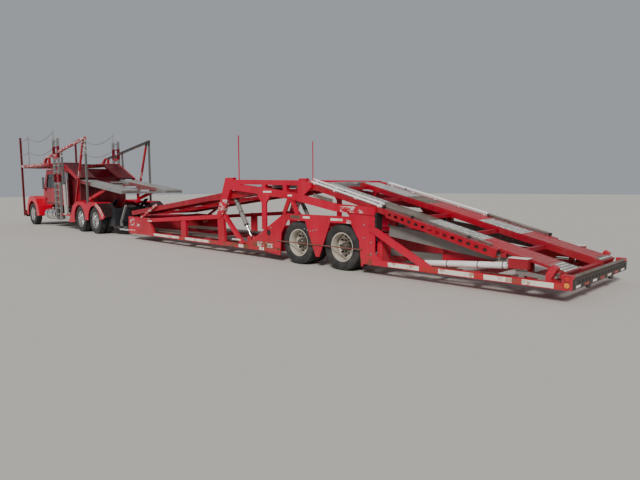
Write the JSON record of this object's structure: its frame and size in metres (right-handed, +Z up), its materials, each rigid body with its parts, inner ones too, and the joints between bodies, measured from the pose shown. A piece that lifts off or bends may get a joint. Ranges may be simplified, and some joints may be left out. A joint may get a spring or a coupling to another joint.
{
  "type": "car transporter truck",
  "caption": "Articulated car transporter: tractor with a deck over its cab and a low rear hitch, and a two-axle trailer whose lifting decks end in a ramp that slopes to the ground.",
  "frame": {"origin": "on the ground under the middle of the truck's length, on its centre line", "axes": "+X forwards, +Y to the left, +Z up"},
  "size_m": [24.816, 2.574, 3.99],
  "materials": {
    "red_paint": "gloss, chipped",
    "bright_red_paint": "gloss",
    "dark_red_paint": "satin",
    "grey_paint": "satin",
    "white_paint": "gloss",
    "cream_paint": "satin",
    "black_paint": "satin",
    "galvanised": "dull",
    "polished_aluminium": "polished",
    "chrome": "polished",
    "engine_iron": "matt",
    "window_glass": "clear, dark",
    "lamp_glass": "clear",
    "cab_trim": "textured",
    "tyre": "matt"
  },
  "bodies": {
    "trailer": {"side_frame_left": "red_paint", "side_frame_right": "red_paint", "trailer_floor": "red_paint", "floor_tracks": "galvanised", "trailer_axles": "black_paint", "rear_bumper": "red_paint", "tail_lamps": "lamp_glass", "mid_deck": "galvanised"},
    "tractor": {"tractor_frame": "black_paint", "fifth_wheel": "black_paint", "tractor_axles": "black_paint", "engine": "engine_iron", "front_bumper": "chrome", "cab": "bright_red_paint", "cab_glass": "window_glass", "cab_interior": "cab_trim", "fuel_tanks": "polished_aluminium", "drive_fenders": "red_paint", "guard_frames": "red_paint", "ladders": "galvanised", "rear_cabinet": "dark_red_paint", "exhaust": "chrome", "deck_supports": "red_paint", "stinger_boxes": "black_paint"},
    "hood": {"hood": "bright_red_paint", "headlamps": "lamp_glass"},
    "front_deck": {"front_deck": "red_paint"},
    "rear_deck": {"rear_deck": "red_paint"},
    "head_deck": {"head_deck": "red_paint"},
    "tractor_deck": {"tractor_deck": "galvanised"},
    "front_barrels": {"front_lift_barrels": "grey_paint"},
    "front_rods": {"front_lift_rods": "chrome"},
    "rear_barrels": {"rear_lift_barrels": "white_paint"},
    "rear_rods": {"rear_lift_rods": "chrome"},
    "door_left": {"door_left": "bright_red_paint", "door_glass_left": "window_glass"},
    "knuckle_left": {"knuckle_left": "black_paint"},
    "steer_wheel_left": {"steer_tyre_left": "tyre", "steer_rim_left": "polished_aluminium"},
    "drive_front_wheel_left": {"drive_front_tyres_left": "tyre", "drive_front_rims_left": "polished_aluminium"},
    "drive_rear_wheel_left": {"drive_rear_tyres_left": "tyre", "drive_rear_rims_left": "polished_aluminium"},
    "trailer_front_wheel_left": {"trailer_front_tyres_left": "tyre", "trailer_front_rims_left": "cream_paint"},
    "trailer_rear_wheel_left": {"trailer_rear_tyres_left": "tyre", "trailer_rear_rims_left": "cream_paint"},
    "door_right": {"door_right": "bright_red_paint", "door_glass_right": "window_glass"},
    "knuckle_right": {"knuckle_right": "black_paint"},
    "steer_wheel_right": {"steer_tyre_right": "tyre", "steer_rim_right": "polished_aluminium"},
    "drive_front_wheel_right": {"drive_front_tyres_right": "tyre", "drive_front_rims_right": "polished_aluminium"},
    "drive_rear_wheel_right": {"drive_rear_tyres_right": "tyre", "drive_rear_rims_right": "polished_aluminium"},
    "trailer_front_wheel_right": {"trailer_front_tyres_right": "tyre", "trailer_front_rims_right": "cream_paint"},
    "trailer_rear_wheel_right": {"trailer_rear_tyres_right": "tyre", "trailer_rear_rims_right": "cream_paint"}
  },
  "joints": [
    {"name": "hitch_yaw", "type": "hinge", "parent": "trailer", "child": "tractor", "pos_m": [2.548, 0, 0.556], "axis": [0, 0, 1], "range_deg": [-60, 60]},
    {"name": "front_deck_lift", "type": "hinge", "parent": "trailer", "child": "front_deck", "pos_m": [-5.522, 0, 1.64], "axis": [0, -1, 0], "range_deg": [0, 20]},
    {"name": "rear_deck_lift", "type": "hinge", "parent": "trailer", "child": "rear_deck", "pos_m": [-7.102, 0, 1.7], "axis": [0, 1, 0], "range_deg": [0, 12]},
    {"name": "head_deck_lift", "type": "hinge", "parent": "tractor", "child": "head_deck", "pos_m": [12.218, 0, 2.65], "axis": [0, 1, 0], "range_deg": [0, 8]},
    {"name": "tractor_deck_lift", "type": "hinge", "parent": "tractor", "child": "tractor_deck", "pos_m": [5.698, 0, 1.93], "axis": [0, 1, 0], "range_deg": [0, 12]},
    {"name": "hood_tilt", "type": "hinge", "parent": "tractor", "child": "hood", "pos_m": [12.078, 0, 0.6], "axis": [0, 1, 0], "range_deg": [0, 18]},
    {"name": "front_barrel_swing", "type": "hinge", "parent": "front_deck", "child": "front_barrels", "pos_m": [-4.252, 0, 1.42], "axis": [0, 1, 0], "range_deg": [0, 11.01]},
    {"name": "front_rod_slide", "type": "slide", "parent": "front_barrels", "child": "front_rods", "axis": [-0.5566, 0, -0.8308], "range_m": [0, 0.3919]},
    {"name": "rear_barrel_swing", "type": "hinge", "parent": "trailer", "child": "rear_barrels", "pos_m": [-9.802, 0, 0.325], "axis": [0, 1, 0], "range_deg": [0, 25.25]},
    {"name": "rear_rod_slide", "type": "slide", "parent": "rear_barrels", "child": "rear_rods", "axis": [-0.9971, 0, 0.0765], "range_m": [0, 0.4437]},
    {"name": "door_swing_left", "type": "hinge", "parent": "tractor", "child": "door_left", "pos_m": [9.898, 1.038, 1.39], "axis": [0, 0, -1], "range_deg": [0, 65]},
    {"name": "steer_left", "type": "hinge", "parent": "tractor", "child": "knuckle_left", "pos_m": [11.25, 0.86, 0.486], "axis": [0, 0, 1], "range_deg": [-35, 35]},
    {"name": "steer_wheel_spin_left", "type": "hinge", "parent": "knuckle_left", "child": "steer_wheel_left", "pos_m": [11.25, 1.1, 0.486], "axis": [0, 1, 0], "continuous": true},
    {"name": "drive_front_spin_left", "type": "hinge", "parent": "tractor", "child": "drive_front_wheel_left", "pos_m": [5.538, 0.95, 0.486], "axis": [0, 1, 0], "continuous": true},
    {"name": "drive_rear_spin_left", "type": "hinge", "parent": "tractor", "child": "drive_rear_wheel_left", "pos_m": [4.185, 0.95, 0.486], "axis": [0, 1, 0], "continuous": true},
    {"name": "trailer_front_spin_left", "type": "hinge", "parent": "trailer", "child": "trailer_front_wheel_left", "pos_m": [-6.702, 0.95, 0.468], "axis": [0, 1, 0], "continuous": true},
    {"name": "trailer_rear_spin_left", "type": "hinge", "parent": "trailer", "child": "trailer_rear_wheel_left", "pos_m": [-7.977, 0.95, 0.468], "axis": [0, 1, 0], "continuous": true},
    {"name": "door_swing_right", "type": "hinge", "parent": "tractor", "child": "door_right", "pos_m": [9.898, -1.038, 1.39], "axis": [0, 0, 1], "range_deg": [0, 65]},
    {"name": "steer_right", "type": "hinge", "parent": "tractor", "child": "knuckle_right", "pos_m": [11.25, -0.86, 0.486], "axis": [0, 0, 1], "range_deg": [-35, 35]},
    {"name": "steer_wheel_spin_right", "type": "hinge", "parent": "knuckle_right", "child": "steer_wheel_right", "pos_m": [11.25, -1.1, 0.486], "axis": [0, 1, 0], "continuous": true},
    {"name": "drive_front_spin_right", "type": "hinge", "parent": "tractor", "child": "drive_front_wheel_right", "pos_m": [5.538, -0.95, 0.486], "axis": [0, 1, 0], "continuous": true},
    {"name": "drive_rear_spin_right", "type": "hinge", "parent": "tractor", "child": "drive_rear_wheel_right", "pos_m": [4.185, -0.95, 0.486], "axis": [0, 1, 0], "continuous": true},
    {"name": "trailer_front_spin_right", "type": "hinge", "parent": "trailer", "child": "trailer_front_wheel_right", "pos_m": [-6.702, -0.95, 0.468], "axis": [0, 1, 0], "continuous": true},
    {"name": "trailer_rear_spin_right", "type": "hinge", "parent": "trailer", "child": "trailer_rear_wheel_right", "pos_m": [-7.977, -0.95, 0.468], "axis": [0, 1, 0], "continuous": true}
  ],
  "couplings": [
    {"joint": "front_barrel_swing", "follows": "front_deck_lift", "ratio": 0.54849},
    {"joint": "front_rod_slide", "follows": "front_deck_lift", "m_per_rad": 1.1198},
    {"joint": "rear_barrel_swing", "follows": "rear_deck_lift", "ratio": 2.0983},
    {"joint": "rear_rod_slide", "follows": "rear_deck_lift", "m_per_rad": 2.1135},
    {"joint": "steer_right", "follows": "steer_left", "ratio": 1}
  ]
}
